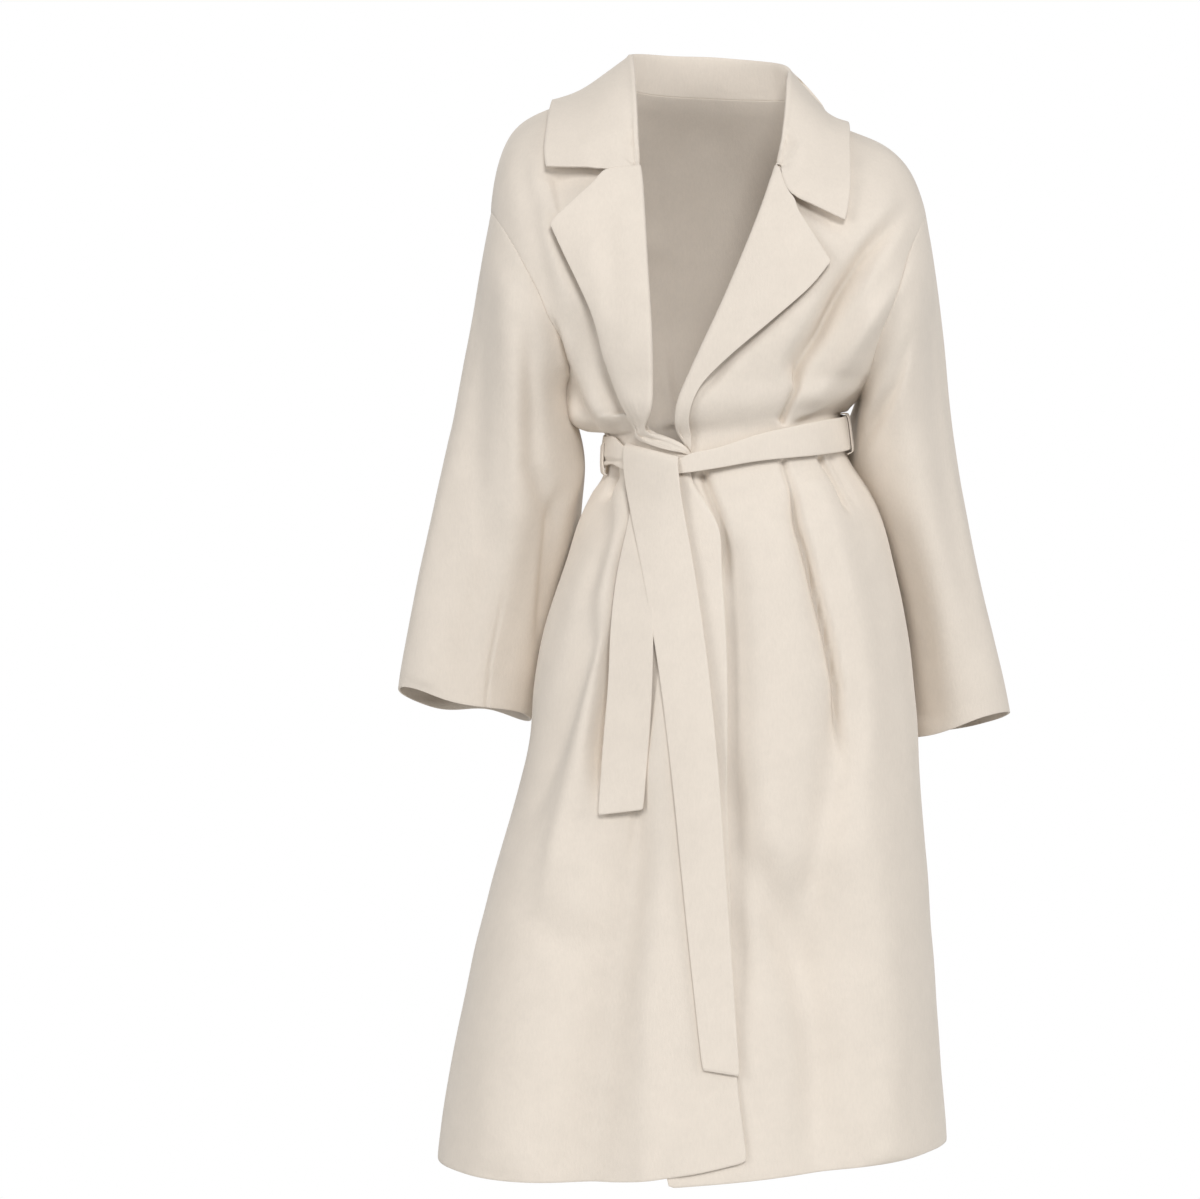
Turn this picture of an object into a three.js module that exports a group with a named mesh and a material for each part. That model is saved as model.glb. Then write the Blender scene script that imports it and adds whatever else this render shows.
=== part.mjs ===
import * as THREE from "three";

// Sizes are in millimetres. +X is the coat's own left side, +Y its back, +Z up.
// The origin is in the middle of the neck opening, at shoulder height.
const CLOTH = 2.4; // wall of the coat's cloth, two brushed faces woven as one
const BELT = 2.8; // wall of the belt, sewn flat
const SEAM = 0.35; // gap left where two pieces are sewn edge to edge
const SHOULDER_GAP = 1.7; // half the gap at a shoulder seam, where two walls meet at an angle
const NECK_GAP = 1; // between the collar's foot and the neck edge, which lean apart
const LAYER = 2.9; // middle of one cloth to the middle of the next one on it
const WRAP = 4; // middle of the right front to the middle of the left one under it
const SLEEVE_CLEAR = 5.2; // least from the middle of a sleeve's cloth to that of the body
const ROLL = 2.7; // radius of a lapel's roll line, at the middle of the cloth
const STAND_OFF = 6.2; // middle of a turned edge to the middle of the cloth beneath it
const SIDE_Y = 5; // depth of the side seams
const BODY_COLUMNS = 12; // steps across each front, and across half the back
const SLEEVE_COLUMNS = 24; // steps round a sleeve
const BELT_HEIGHT = 35; // width of the belt's cloth
const WAIST = -366; // middle of the belt on the coat's centre line
const BELT_SLOPE_X = 0.086; // the belt stands higher on the coat's left
const BELT_SLOPE_Y = 0.12; // and higher at the back

const V = (x, y, z) => new THREE.Vector3(x, y, z);
const mix = (a, b, t) => a + (b - a) * t;
const clamp = (t) => Math.min(1, Math.max(0, t));
const ease = (t) => clamp(t) ** 2 * (3 - 2 * clamp(t));
const ramp = (from, to, at) => ease((at - from) / (to - from));
const hump = (t) => Math.exp(-t * t);

// Rows of numbers under named columns.
function table(columns, rows) {
  const keys = columns.split(" ");
  return rows.map((row) => Object.fromEntries(keys.map((key, i) => [key, row[i]])));
}

// The row of a table at a place between its rows, smooth along the first column.
function between(rows, key, at) {
  const up = rows[1][key] > rows[0][key] ? 1 : -1;
  let i = rows.findIndex((row) => (row[key] - at) * up > 0) - 1;
  if (i < 0) i = (rows[0][key] - at) * up > 0 ? 0 : rows.length - 2;
  const near = (j) => rows[Math.min(rows.length - 1, Math.max(0, j))];
  const [a, b, c, d] = [near(i - 1), near(i), near(i + 1), near(i + 2)];
  const span = c[key] - b[key];
  const t = clamp((at - b[key]) / span);
  const out = {};
  for (const name of Object.keys(b)) {
    const m0 = (span * (c[name] - a[name])) / (c[key] - a[key]);
    const m1 = (span * (d[name] - b[name])) / (d[key] - b[key]);
    const [t2, t3] = [t * t, t * t * t];
    out[name] = (2 * t3 - 3 * t2 + 1) * b[name] + (t3 - 2 * t2 + t) * m0;
    out[name] += (3 * t2 - 2 * t3) * c[name] + (t3 - t2) * m1;
  }
  return out;
}

// Rings of the coat's body: where its sides, front and back stand, and how square it is.
const RINGS = table("z left right front back square", [
  [-1113, -287, 246, -172, 184, 2.3],
  [-1040, -278, 241, -168, 180, 2.3],
  [-950, -259, 235, -163, 174, 2.3],
  [-870, -242, 230, -157, 168, 2.3],
  [-803, -223, 225, -152, 162, 2.3],
  [-740, -204, 219, -147, 157, 2.3],
  [-677, -188, 216, -143, 152, 2.3],
  [-630, -187, 213, -139, 148, 2.3],
  [-580, -180, 208, -135, 144, 2.3],
  [-530, -167, 199, -130, 139, 2.3],
  [-484, -151, 187, -124, 131, 2.3],
  [-450, -138, 176, -117, 121, 2.3],
  [-425, -124, 163, -110, 111, 2.25],
  [-404, -114, 148, -102, 99, 2.2],
  [-388, -111, 140, -98, 93, 2.2],
  [-366, -111, 137, -97, 91, 2.2],
  [-343, -111, 134, -97, 91, 2.2],
  [-336, -127, 134, -104, 99, 2.2],
  [-325, -142, 146, -112, 106, 2.2],
  [-305, -152, 160, -117, 111, 2.2],
  [-270, -157, 165, -118, 114, 2.2],
]);

// Main folds of the cloth: two points of each one, half its width, and its depth,
// less than nothing where it is a trough. The face is the front or the back.
const FOLDS = table("face x_top z_top x_low z_low width depth fade", [
  ["front", 72, -398, 128, -640, 13, -8, 60],
  ["front", 52, -402, 104, -700, 20, 5, 90],
  ["front", 104, -392, 150, -560, 14, 5, 60],
  ["front", 117, -384, 147, -440, 8, -5, 30],
  ["front", 0, -400, 26, -700, 14, -4, 120],
  ["front", -104, -398, -136, -470, 11, -6, 40],
  ["front", -118, -455, -150, -780, 26, 5, 120],
  ["front", -66, -620, -118, -1113, 34, -8, 140],
  ["front", -190, -640, -232, -1113, 34, 6, 160],
  ["front", 150, -640, 178, -1113, 36, 6, 160],
  ["front", 92, -700, 98, -1113, 34, -7, 150],
  ["back", -78, -396, -104, -700, 18, -7, 80],
  ["back", -38, -392, -60, -1113, 24, 7, 120],
  ["back", 4, -392, 2, -1113, 26, -7, 120],
  ["back", 58, -392, 74, -1113, 24, 7, 120],
  ["back", 100, -392, 128, -760, 18, -7, 80],
  ["back", -150, -560, -200, -1113, 34, -8, 160],
  ["back", 160, -560, 190, -1113, 34, -8, 160],
  ["front", 150, -175, 96, -338, 17, -8, 50],
  ["front", 178, -215, 118, -330, 14, 8, 40],
  ["front", -150, -250, -128, -338, 11, -5, 40],
  ["back", -90, -200, -70, -336, 22, -6, 50],
  ["back", 92, -200, 78, -336, 22, -6, 50],
]);

// How far the folds move the cloth out at a point of the front or the back.
function foldDepth(face, x, z) {
  let sum = 0;
  for (const fold of FOLDS) {
    if (fold.face !== face) continue;
    const t = (z - fold.z_top) / (fold.z_low - fold.z_top);
    const across = (x - mix(fold.x_top, fold.x_low, t)) / fold.width;
    const inside = ramp(fold.z_top + 12, fold.z_top - fold.fade, z);
    const last = fold.z_low < -1100 ? 1 : ramp(fold.z_low - 20, fold.z_low + fold.fade, z);
    sum += fold.depth * hump(across) * inside * last;
  }
  return sum;
}

// The belt's tilt is full at the waist and gone at the hips and the armholes.
const tiltAt = (z) => (z < WAIST ? ramp(-560, -410, z) : ramp(-262, -330, z));

// The hem stands higher towards the coat's left, and hangs a little lower in front.
const hemLift = (x, y, z) =>
  ramp(-960, -1113, z) * (mix(-2, 19, ramp(-120, 250, x)) - 4 * ramp(-70, -165, y));

// The ring that passes through a point of the front at (x, z).
function ringAt(x, y, z) {
  let ring = z;
  for (let i = 0; i < 6; i++) ring = z - rise(x, y, ring);
  return ring;
}

// How far a ring's point stands above the ring's own height.
function rise(x, y, ring) {
  return tiltAt(ring) * (BELT_SLOPE_X * x + BELT_SLOPE_Y * y) + hemLift(x, y, ring);
}

// A point of the body at an angle round it (0 in front, 90 degrees at the coat's left).
function ringPoint(angle, z, out = 0) {
  const at = (a) => {
    const r = between(RINGS, "z", z);
    const p = 2 / r.square;
    const [s, c] = [Math.sin(a), Math.cos(a)];
    const depth = c > 0 ? r.front : r.back;
    const x = (r.left + r.right) / 2 + ((r.right - r.left) / 2) * Math.sign(s) * Math.abs(s) ** p;
    return V(x, mix(SIDE_Y, depth, Math.abs(c) ** p), z);
  };
  const point = at(angle);
  const along = at(angle + 0.02).sub(at(angle - 0.02));
  const normal = V(along.y, -along.x, 0).normalize();
  const face = Math.cos(angle) > 0 ? "front" : "back";
  const flank = ramp(0, 0.35, Math.abs(Math.cos(angle)));
  point.addScaledVector(normal, out + foldDepth(face, point.x, z) * flank);
  point.z += rise(point.x, point.y, z);
  return point;
}

// The angle at which the front of a ring stands at x.
function angleAt(x, z) {
  const r = between(RINGS, "z", z);
  const s = (x - (r.left + r.right) / 2) / ((r.right - r.left) / 2);
  return Math.asin(Math.sign(s) * Math.min(1, Math.abs(s)) ** (r.square / 2));
}

// Armholes: the shoulder end and the underarm, the depths in front and behind, and how
// far the seam bows towards the body. The side is -1 on the coat's right and 1 on its left.
const ARMHOLES = {
  right: { side: -1, top: [-231, 12, -122], under: [-152, SIDE_Y, -305], front: -80, back: 94 },
  left: { side: 1, top: [225, 12, -124], under: [160, SIDE_Y, -305], front: -80, back: 94 },
};
const ARMHOLE_BOW = 12;

// A point of an armhole: 0 at the shoulder, a half turn at the underarm, in front between.
function armholePoint(hole, turn) {
  const [s, c] = [Math.sin(turn), Math.cos(turn)];
  const t = (1 - c) / 2;
  const y = mix(hole.top[1], hole.under[1], t);
  const depth = s > 0 ? hole.front : hole.back;
  const x = mix(hole.top[0], hole.under[0], t) - hole.side * ARMHOLE_BOW * s * s;
  return V(x, mix(y, depth, Math.abs(s) ** 0.92), mix(hole.top[2], hole.under[2], t) - 4 * s * s);
}

// Rows of each front from the hem up to the armhole: the ring they leave the side seam on,
// and where they end. Beside the lapel's roll they end at the roll line.
const FRONTS = {
  right: table("ring x z lapel", [
    [-1113, 35, -1090, 0],
    [-1040, 31, -1024, 0],
    [-950, 25, -943, 0],
    [-870, 20, -866, 0],
    [-803, 18, -803, 0],
    [-740, 18, -740, 0],
    [-677, 18, -677, 0],
    [-630, 18, -631, 0],
    [-580, 16, -582, 0],
    [-530, 12, -532, 0],
    [-484, 5, -489, 0],
    [-450, -5, -455, 0],
    [-425, -16, -430, 0],
    [-404, -24, -408, 0],
    [-390, -22, -394, 0],
    [-378, -22, -386, 0],
    [-366, -31, -376, 1],
    [-356, -46, -367.5, 1],
    [-344, -71, -359, 1],
    [-334, -65, -338, 1],
    [-321, -64, -324, 1],
  ]),
  left: table("ring x z lapel", [
    [-1113, -50, -1116, 0],
    [-1040, -52, -1040, 0],
    [-950, -52, -950, 0],
    [-870, -52, -870, 0],
    [-803, -52, -803, 0],
    [-740, -52, -740, 0],
    [-677, -52, -677, 0],
    [-630, -52, -630, 0],
    [-580, -52, -580, 0],
    [-530, -51, -530, 0],
    [-484, -49, -484, 0],
    [-450, -46, -452, 0],
    [-425, -42, -430, 0],
    [-404, -36, -412, 0],
    [-390, -30, -398, 0],
    [-378, -26, -386, 0],
    [-366, -27, -374, 1],
    [-356, -35, -361, 1],
    [-344, -38, -350, 1],
    [-334, -37, -335, 1],
    [-321, -33, -322, 1],
  ]),
};

// Inner edge of each front above the armhole's foot: the roll line up to the collar seam,
// then the neck seam up to the shoulder. The share is how far up the armhole a row ends.
const NECKLINES = {
  right: table("share x y z lapel", [
    [0, -64.5, -118, -308, 1],
    [0.11, -66, -119.5, -282, 1],
    [0.23, -67.5, -119.5, -250, 1],
    [0.36, -70, -117.5, -214, 1],
    [0.49, -72.5, -111, -176, 1],
    [0.62, -74.5, -99, -134, 1],
    [0.74, -77, -79, -88, 1],
    [0.84, -80, -51, -48, 0],
    [0.92, -83, -24, -18, 0],
    [1, -86, 12, 7, 0],
  ]),
  left: table("share x y z lapel", [
    [0, -27, -118, -308, 1],
    [0.11, -12, -120, -275, 1],
    [0.23, 8, -120, -234, 1],
    [0.36, 27, -116, -190, 1],
    [0.49, 45, -107, -146, 1],
    [0.62, 57, -95, -113, 1],
    [0.74, 64, -83, -88, 1],
    [0.84, 75, -51, -48, 0],
    [0.92, 80, -24, -18, 0],
    [1, 84, 12, -5, 0],
  ]),
};

// Shoulder seams from the neck out to the armhole.
const SHOULDERS = {
  right: table("share x y z", [
    [0, -86, 12, 7],
    [0.2, -122, 12, 0],
    [0.42, -162, 12, -11],
    [0.62, -197, 12, -27],
    [0.78, -217, 12, -50],
    [0.9, -227, 12, -86],
    [1, -231, 12, -122],
  ]),
  left: table("share x y z", [
    [0, 84, 12, -5],
    [0.2, 112, 12, -24],
    [0.42, 148, 12, -38],
    [0.62, 184, 12, -53],
    [0.78, 206, 12, -74],
    [0.9, 218, 12, -100],
    [1, 225, 12, -124],
  ]),
};

// Centre of the back, from the ring at the armholes' foot up to the neck seam.
const BACK_NECK = table("share x y z", [
  [0, 3, 112, -308],
  [0.16, 3, 117, -258],
  [0.34, 3, 119, -200],
  [0.52, 2, 116, -142],
  [0.7, 1, 106, -86],
  [0.85, 0, 90, -38],
  [1, 0, 66, 4],
]);

const point = (row) => V(row.x, row.y, row.z);

// A point of a four-sided patch: foot and top run with u, near and far run with v.
function patchPoint(foot, top, near, far, u, v) {
  const [a, b, c, d] = [foot(0), foot(1), top(0), top(1)];
  const p = foot(u).multiplyScalar(1 - v).addScaledVector(top(u), v);
  p.addScaledVector(near(v), 1 - u).addScaledVector(far(v), u);
  p.addScaledVector(a, (u - 1) * (1 - v)).addScaledVector(b, -u * (1 - v));
  return p.addScaledVector(c, (u - 1) * v).addScaledVector(d, -u * v);
}

// The right front lies over the left one. It is lifted clear near the wrap's free edge,
// and once more where it crosses the left lapel under the belt.
function wrapLift(x, z) {
  const { left } = between(RINGS, "z", z);
  const over = ramp(0.97 * left, 0.55 * left, x) * ramp(-225, -330, z);
  const cross = hump((x + 32) / 46) * ramp(-450, -405, z) * ramp(-300, -345, z);
  return WRAP * over + 4.4 * cross;
}

// Rows of points of a front, from the hem to the shoulder, each from the free edge or roll
// line (first point) out to the side seam or armhole (last point).
function frontRows(name) {
  const hole = ARMHOLES[name];
  const lift = (x, z) => (name === "right" ? wrapLift(x, z) : 0);
  const side = (hole.side * Math.PI) / 2;
  const lower = (ring, x, z, u) => {
    const inner = ringAt(x, -115, z);
    const corner = ramp(-950, -1060, ring);
    const at = mix(inner, ring, mix(ease(u), 1 - (1 - u) ** 5, corner));
    const angle = mix(angleAt(x, inner), side * 0.9985, u);
    const bare = ringPoint(angle, at);
    return ringPoint(angle, at, lift(bare.x, bare.z));
  };
  const rows = FRONTS[name].map((row) => ({
    lapel: row.lapel,
    points: steps(BODY_COLUMNS).map((u) => lower(row.ring, row.x, row.z, u)),
  }));
  const neck = NECKLINES[name];
  const foot = (u) => lower(-305, neck[0].x, neck[0].z, u);
  const top = (u) => point(between(SHOULDERS[name], "share", u));
  const near = (v) => point(between(neck, "share", v)).lerp(foot(0), 1 - clamp(v * 8));
  const far = (v) => armholePoint(hole, Math.PI * (1 - v)).lerp(foot(1), 1 - clamp(v * 8));
  for (const row of neck) {
    const v = row.share;
    const points = steps(BODY_COLUMNS).map((u) => {
      const p = patchPoint(foot, top, near, far, u, v);
      const out = foldDepth("front", p.x, p.z) * ramp(0.02, 0.2, 1 - u) * ramp(0, 0.3, v);
      return p.add(V(0, -out * ramp(0.9, 0.5, v) - SHOULDER_GAP * v ** 6, 0));
    });
    rows.push({ lapel: row.lapel, points });
  }
  return rows;
}

// Even steps from 0 to 1.
function steps(count) {
  return Array.from({ length: count + 1 }, (_, i) => i / count);
}

// Rows of points of the back, from the hem up, from the coat's right to its left.
function backRows() {
  const turn = (u) => Math.PI * mix(-0.5005, -1.4995, u);
  const across = steps(2 * BODY_COLUMNS);
  const rings = FRONTS.right.map((row) => row.ring);
  const rows = rings.map((z) => across.map((u) => ringPoint(turn(u), z)));
  const foot = (u) => ringPoint(turn(u), -305);
  const halves = ["right", "left"].map((name) => {
    const hole = ARMHOLES[name];
    const sign = hole.side;
    const footHalf = (u) => foot(0.5 + (sign * u) / 2);
    const neck = point(SHOULDERS[name][0]);
    const top = (u) => {
      if (u > 0.4) {
        return point(between(SHOULDERS[name], "share", (u - 0.4) / 0.6));
      }
      const t = u / 0.4;
      const bend = Math.sin((t * Math.PI) / 2);
      return V(neck.x * bend, mix(66, 12, 1 - Math.sqrt(1 - bend * bend * 0.9999)), mix(4, neck.z, t));
    };
    const near = (v) => point(between(BACK_NECK, "share", v)).lerp(footHalf(0), 1 - clamp(v * 8));
    const far = (v) => armholePoint(hole, -Math.PI * (1 - v)).lerp(footHalf(1), 1 - clamp(v * 8));
    return (u, v) => patchPoint(footHalf, top, near, far, u, v);
  });
  for (const { share: v } of NECKLINES.right) {
    rows.push(across.map((u) => {
      const half = Math.abs(2 * u - 1);
      const gap = SHOULDER_GAP * v ** 6 * ramp(0.2, 0.5, half);
      return halves[u < 0.5 ? 0 : 1](half, v).add(V(0, gap, 0));
    }));
  }
  return rows;
}

// A cloth under construction: points, and the faces between them.
class Cloth {
  constructor(name, wall) {
    Object.assign(this, { name, wall, points: [], faces: [] });
  }
  add(p) {
    this.points.push(p);
    return this.points.length - 1;
  }
  // Faces between two rows of point numbers, which face the viewer with the first row below.
  join(a, b) {
    for (let i = 0; i + 1 < a.length; i++) {
      this.face(a[i], a[i + 1], b[i + 1]);
      this.face(a[i], b[i + 1], b[i]);
    }
  }
  face(a, b, c) {
    if (a !== b && b !== c && a !== c) this.faces.push([a, b, c]);
  }
  // Every grid of rows becomes faces.
  grid(rows, round = false) {
    const numbers = rows.map((row) => row.map((p) => this.add(p)));
    if (round) numbers.forEach((row) => row.push(row[0]));
    numbers.slice(1).forEach((row, i) => this.join(numbers[i], row));
    return numbers;
  }
  normals() {
    const sums = this.points.map(() => V(0, 0, 0));
    for (const [a, b, c] of this.faces) {
      const p = this.points;
      const n = p[b].clone().sub(p[a]).cross(p[c].clone().sub(p[a]));
      for (const i of [a, b, c]) sums[i].add(n);
    }
    return sums.map((n) => n.normalize());
  }
  // The closed wall: both faces, and a rim along every free edge.
  mesh(color) {
    const count = this.points.length;
    const normals = this.normals();
    const place = (side) => this.points.map((p, i) =>
      p.clone().addScaledVector(normals[i], (side * this.wall) / 2));
    const corners = [...place(1), ...place(-1)];
    const faces = this.faces.flatMap(([a, b, c]) => [[a, b, c], [c + count, b + count, a + count]]);
    const edges = new Set(this.faces.flatMap(([a, b, c]) => [[a, b], [b, c], [c, a]].map(String)));
    for (const edge of edges) {
      const [a, b] = edge.split(",").map(Number);
      if (edges.has(`${b},${a}`)) continue;
      faces.push([b, a, a + count], [b, a + count, b + count]);
    }
    const geometry = new THREE.BufferGeometry();
    const flat = corners.flatMap((p) => [p.x, p.y, p.z]);
    geometry.setAttribute("position", new THREE.Float32BufferAttribute(flat, 3));
    geometry.setIndex(faces.flat());
    geometry.computeVertexNormals();
    const mesh = new THREE.Mesh(geometry, new THREE.MeshStandardMaterial({ color, roughness: 0.9 }));
    mesh.name = this.name;
    return mesh;
  }
}

// The point of a grid's surface at (x, z), and the direction out of it. The side is 1 where
// the grid's rows run so that its faces look out as they are, and -1 where they look in.
function onGrid(rows, x, z, side) {
  let best = null;
  for (let j = 0; j + 1 < rows.length; j++) {
    for (let i = 0; i + 1 < rows[j].length; i++) {
      const corner = [rows[j][i], rows[j][i + 1], rows[j + 1][i + 1], rows[j + 1][i]];
      for (const [a, b, c] of [[corner[0], corner[1], corner[2]], [corner[0], corner[2], corner[3]]]) {
        const area = (b.x - a.x) * (c.z - a.z) - (c.x - a.x) * (b.z - a.z);
        if (Math.abs(area) < 1e-6) continue;
        const s = ((x - a.x) * (c.z - a.z) - (c.x - a.x) * (z - a.z)) / area;
        const t = ((b.x - a.x) * (z - a.z) - (x - a.x) * (b.z - a.z)) / area;
        const miss = Math.max(0, -s, -t, s + t - 1);
        if (best && miss >= best.miss) continue;
        const p = a.clone().addScaledVector(b.clone().sub(a), s).addScaledVector(c.clone().sub(a), t);
        const n = b.clone().sub(a).cross(c.clone().sub(a)).multiplyScalar(side).normalize();
        best = { miss, p, n };
      }
    }
  }
  return best;
}

// Outer edges of the lapels, row by row with the fronts' rows from the wrap up to the collar.
const LAPELS = {
  right: table("x z", [
    [-35, -381],
    [-53, -376],
    [-75, -362],
    [-91, -335],
    [-100, -315],
    [-105, -301],
    [-113, -279],
    [-119, -250],
    [-129, -222],
    [-147, -188],
    [-161, -160],
    [-167, -146],
  ]),
  left: table("x z", [
    [-21, -377],
    [-23, -363],
    [-27, -346],
    [-24, -331],
    [-17, -316],
    [-8, -303],
    [18, -279],
    [45, -257],
    [73, -234],
    [95, -214],
    [108, -197],
    [115, -187],
  ]),
};
// Where the lapel's top edge leaves the collar seam: the foot of the notch.
const NOTCHES = { right: { x: -109, z: -91.5 }, left: { x: 75, z: -120 } };
const LAPEL_COLUMNS = 6;

// A front with its lapel turned back over it in one piece.
function front(name) {
  const side = ARMHOLES[name].side;
  const rows = frontRows(name);
  const body = rows.map((row) => row.points);
  const cloth = new Cloth(`front_${name}`, CLOTH);
  const turned = rows.filter((row) => row.lapel);
  let before = null;
  let k = 0;
  rows.forEach((row, j) => {
    const numbers = row.points.map((p) => cloth.add(p)).reverse();
    if (row.lapel) {
      const edge = LAPELS[name][k];
      const last = k === turned.length - 1;
      const line = lapelRow(body, rows, j, edge, side, last ? NOTCHES[name] : null);
      numbers.push(...line.map((p) => cloth.add(p)));
      k++;
    }
    if (before) joinRows(cloth, before, numbers, side);
    before = numbers;
  });
  return { cloth, body };
}

// Faces between two rows of a front. Where the lapel starts, it narrows to the lower row's end,
// and where it stops, the upper row goes on without it.
function joinRows(cloth, a, b, side) {
  const low = b.map((_, i) => a[Math.min(i, a.length - 1)]);
  cloth.join(side < 0 ? low : b, side < 0 ? b : low);
}

// The roll and the turned cloth of one row, from the roll line to the lapel's outer edge.
function lapelRow(body, rows, j, edge, side, notch) {
  const start = rows[j].points[0];
  const away = start.clone().sub(rows[j].points[1]).normalize();
  const below = rows[Math.max(0, j - 1)].points[0];
  const above = rows[Math.min(rows.length - 1, j + 1)].points[0];
  const along = (notch ? start : above).clone().sub(below).normalize();
  away.addScaledVector(along, -away.dot(along)).normalize();
  const out = along.clone().cross(away).multiplyScalar(side).normalize();
  const line = [0.25, 0.5, 0.75].map((t) => {
    const a = t * Math.PI;
    const side = start.clone().addScaledVector(away, ROLL * Math.sin(a));
    return side.addScaledVector(out, ROLL * (1 - Math.cos(a)));
  });
  const through = [start, ...(notch ? [V(notch.x, 0, notch.z)] : []), V(edge.x, 0, edge.z)];
  steps(LAPEL_COLUMNS).forEach((t) => {
    const p = alongPath(through, t);
    const at = onGrid(body, p.x, p.z, 1);
    const n = at.n.y > 0 ? at.n.negate() : at.n;
    const gap = mix(2 * ROLL, STAND_OFF, ease(t));
    line.push(t === 0 ? start.clone().addScaledVector(out, 2 * ROLL) : at.p.addScaledVector(n, gap));
  });
  return line;
}

// The point a share of the way along a path of points, each of its legs taking an equal share.
function alongPath(points, share) {
  const legs = points.length - 1;
  const i = Math.min(legs - 1, Math.floor(share * legs));
  return points[i].clone().lerp(points[i + 1], share * legs - i);
}

// Sleeves: the outer and inner line as seen from the front, the depths in front and behind,
// the depths of the two lines, and how much lower a ring stands at the back than in front.
const SLEEVES = {
  right: table("row ox oz ix iz front back oy iy drop", [
    [1, -240, -168, -154, -322, -77, 97, 16, 14, 0],
    [2, -248, -215, -153, -345, -69, 100, 20, 30, 0],
    [3, -259, -275, -147, -378, -56, 102, 24, 44, 0],
    [4, -269, -325, -141, -408, -45, 103, 28, 52, 0],
    [5, -281, -378, -138, -446, -34, 104, 32, 58, 2],
    [6, -294, -435, -145, -485, -24, 105, 36, 62, 4],
    [7, -308, -500, -159, -535, -14, 107, 40, 65, 7],
    [8, -321, -560, -174, -590, -6, 108, 43, 66, 11],
    [9, -328, -600, -184, -632, -1, 109, 45, 66, 15],
    [10, -331, -625, -191, -660, 1, 110, 46, 66, 18],
  ]),
  left: table("row ox oz ix iz front back oy iy drop", [
    [1, 232, -162, 164, -322, -77, 98, 16, 14, 0],
    [2, 239, -215, 161, -345, -68, 102, 20, 32, 0],
    [3, 247, -275, 156, -378, -54, 106, 26, 50, 0],
    [4, 253, -331, 158, -408, -42, 112, 32, 60, 0],
    [5, 261, -383, 168, -446, -32, 118, 38, 66, 2],
    [6, 273, -445, 182, -485, -22, 121, 44, 70, 3],
    [7, 289, -520, 195, -545, -12, 124, 50, 72, 4],
    [8, 304, -580, 204, -602, -7, 126, 54, 73, 6],
    [9, 315, -625, 209, -650, -4, 127, 56, 73, 8],
    [10, 320, -652, 213, -682, -3, 128, 58, 73, 10],
  ]),
};

// Soft folds down the sleeves: the turn round the sleeve, rows, half width and depth.
const SLEEVE_FOLDS = table("turn first last width depth", [
  [0.9, 2, 7, 0.28, -5],
  [1.45, 1, 6, 0.3, 5],
  [2.15, 2, 9, 0.26, -6],
  [-0.8, 3, 10, 0.34, -5],
  [-1.9, 1, 8, 0.3, -6],
  [-2.5, 3, 9, 0.28, 5],
]);

function sleevePoint(name, row, turn) {
  const [s, c] = [Math.sin(turn), Math.cos(turn)];
  const at = between(SLEEVES[name], "row", row);
  const t = (1 - c) / 2;
  const y = mix(at.oy, at.iy, t);
  const depth = mix(y, s > 0 ? at.front : at.back, Math.abs(s) ** 0.95);
  const p = V(mix(at.ox, at.ix, t), depth, mix(at.oz, at.iz, t) - (at.drop * (depth - y)) / 60);
  const middle = V((at.ox + at.ix) / 2, y, p.z);
  let out = 0;
  for (const fold of SLEEVE_FOLDS) {
    const off = Math.atan2(Math.sin(turn - fold.turn), Math.cos(turn - fold.turn));
    const here = ramp(fold.first - 1, fold.first + 1, row) * ramp(fold.last + 1.5, fold.last - 0.5, row);
    out += fold.depth * hump(off / fold.width) * here;
  }
  p.addScaledVector(p.clone().sub(middle).normalize(), out);
  return row > 1 ? clearOfBody(p) : p;
}

// A sleeve's point, moved out to rest against the body where it would go into it.
function clearOfBody(p) {
  const ring = ringAt(p.x, p.y, p.z);
  const r = between(RINGS, "z", ring);
  const dx = (p.x - (r.left + r.right) / 2) / ((r.right - r.left) / 2);
  const dy = (p.y - SIDE_Y) / ((p.y < SIDE_Y ? r.front : r.back) - SIDE_Y);
  const power = r.square / 2;
  const s = Math.sign(dx) * Math.abs(dx) ** power;
  const c = (p.y < SIDE_Y ? 1 : -1) * Math.abs(dy) ** power;
  const rest = ringPoint(Math.atan2(s, c), ring, SLEEVE_CLEAR);
  const here = ringPoint(Math.atan2(s, c), ring, 0);
  const away = rest.clone().sub(here).normalize();
  const inside = rest.clone().sub(p).dot(away);
  return inside > 0 ? p.addScaledVector(away, inside) : p;
}

function sleeve(name) {
  const hole = ARMHOLES[name];
  const turns = steps(SLEEVE_COLUMNS).slice(0, -1).map((t) => -hole.side * t * 2 * Math.PI);
  const seam = turns.map((turn) => {
    const p = armholePoint(hole, turn);
    const dir = sleevePoint(name, 1, turn).sub(p).normalize();
    const under = Math.max(0, -Math.cos(turn)) ** 1.5;
    p.addScaledVector(dir, SEAM + 1.6 * Math.sin(turn) ** 2);
    return p.add(V(hole.side * 2.7 * under, 0, -0.5 * under));
  });
  const half = turns.map((turn, i) => seam[i].clone().lerp(sleevePoint(name, 1, turn), 0.5));
  const rows = SLEEVES[name].map((row) => turns.map((turn) => sleevePoint(name, row.row, turn)));
  const cloth = new Cloth(`sleeve_${name}`, CLOTH);
  cloth.grid([seam, half, ...rows].reverse(), true);
  return cloth;
}

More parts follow.
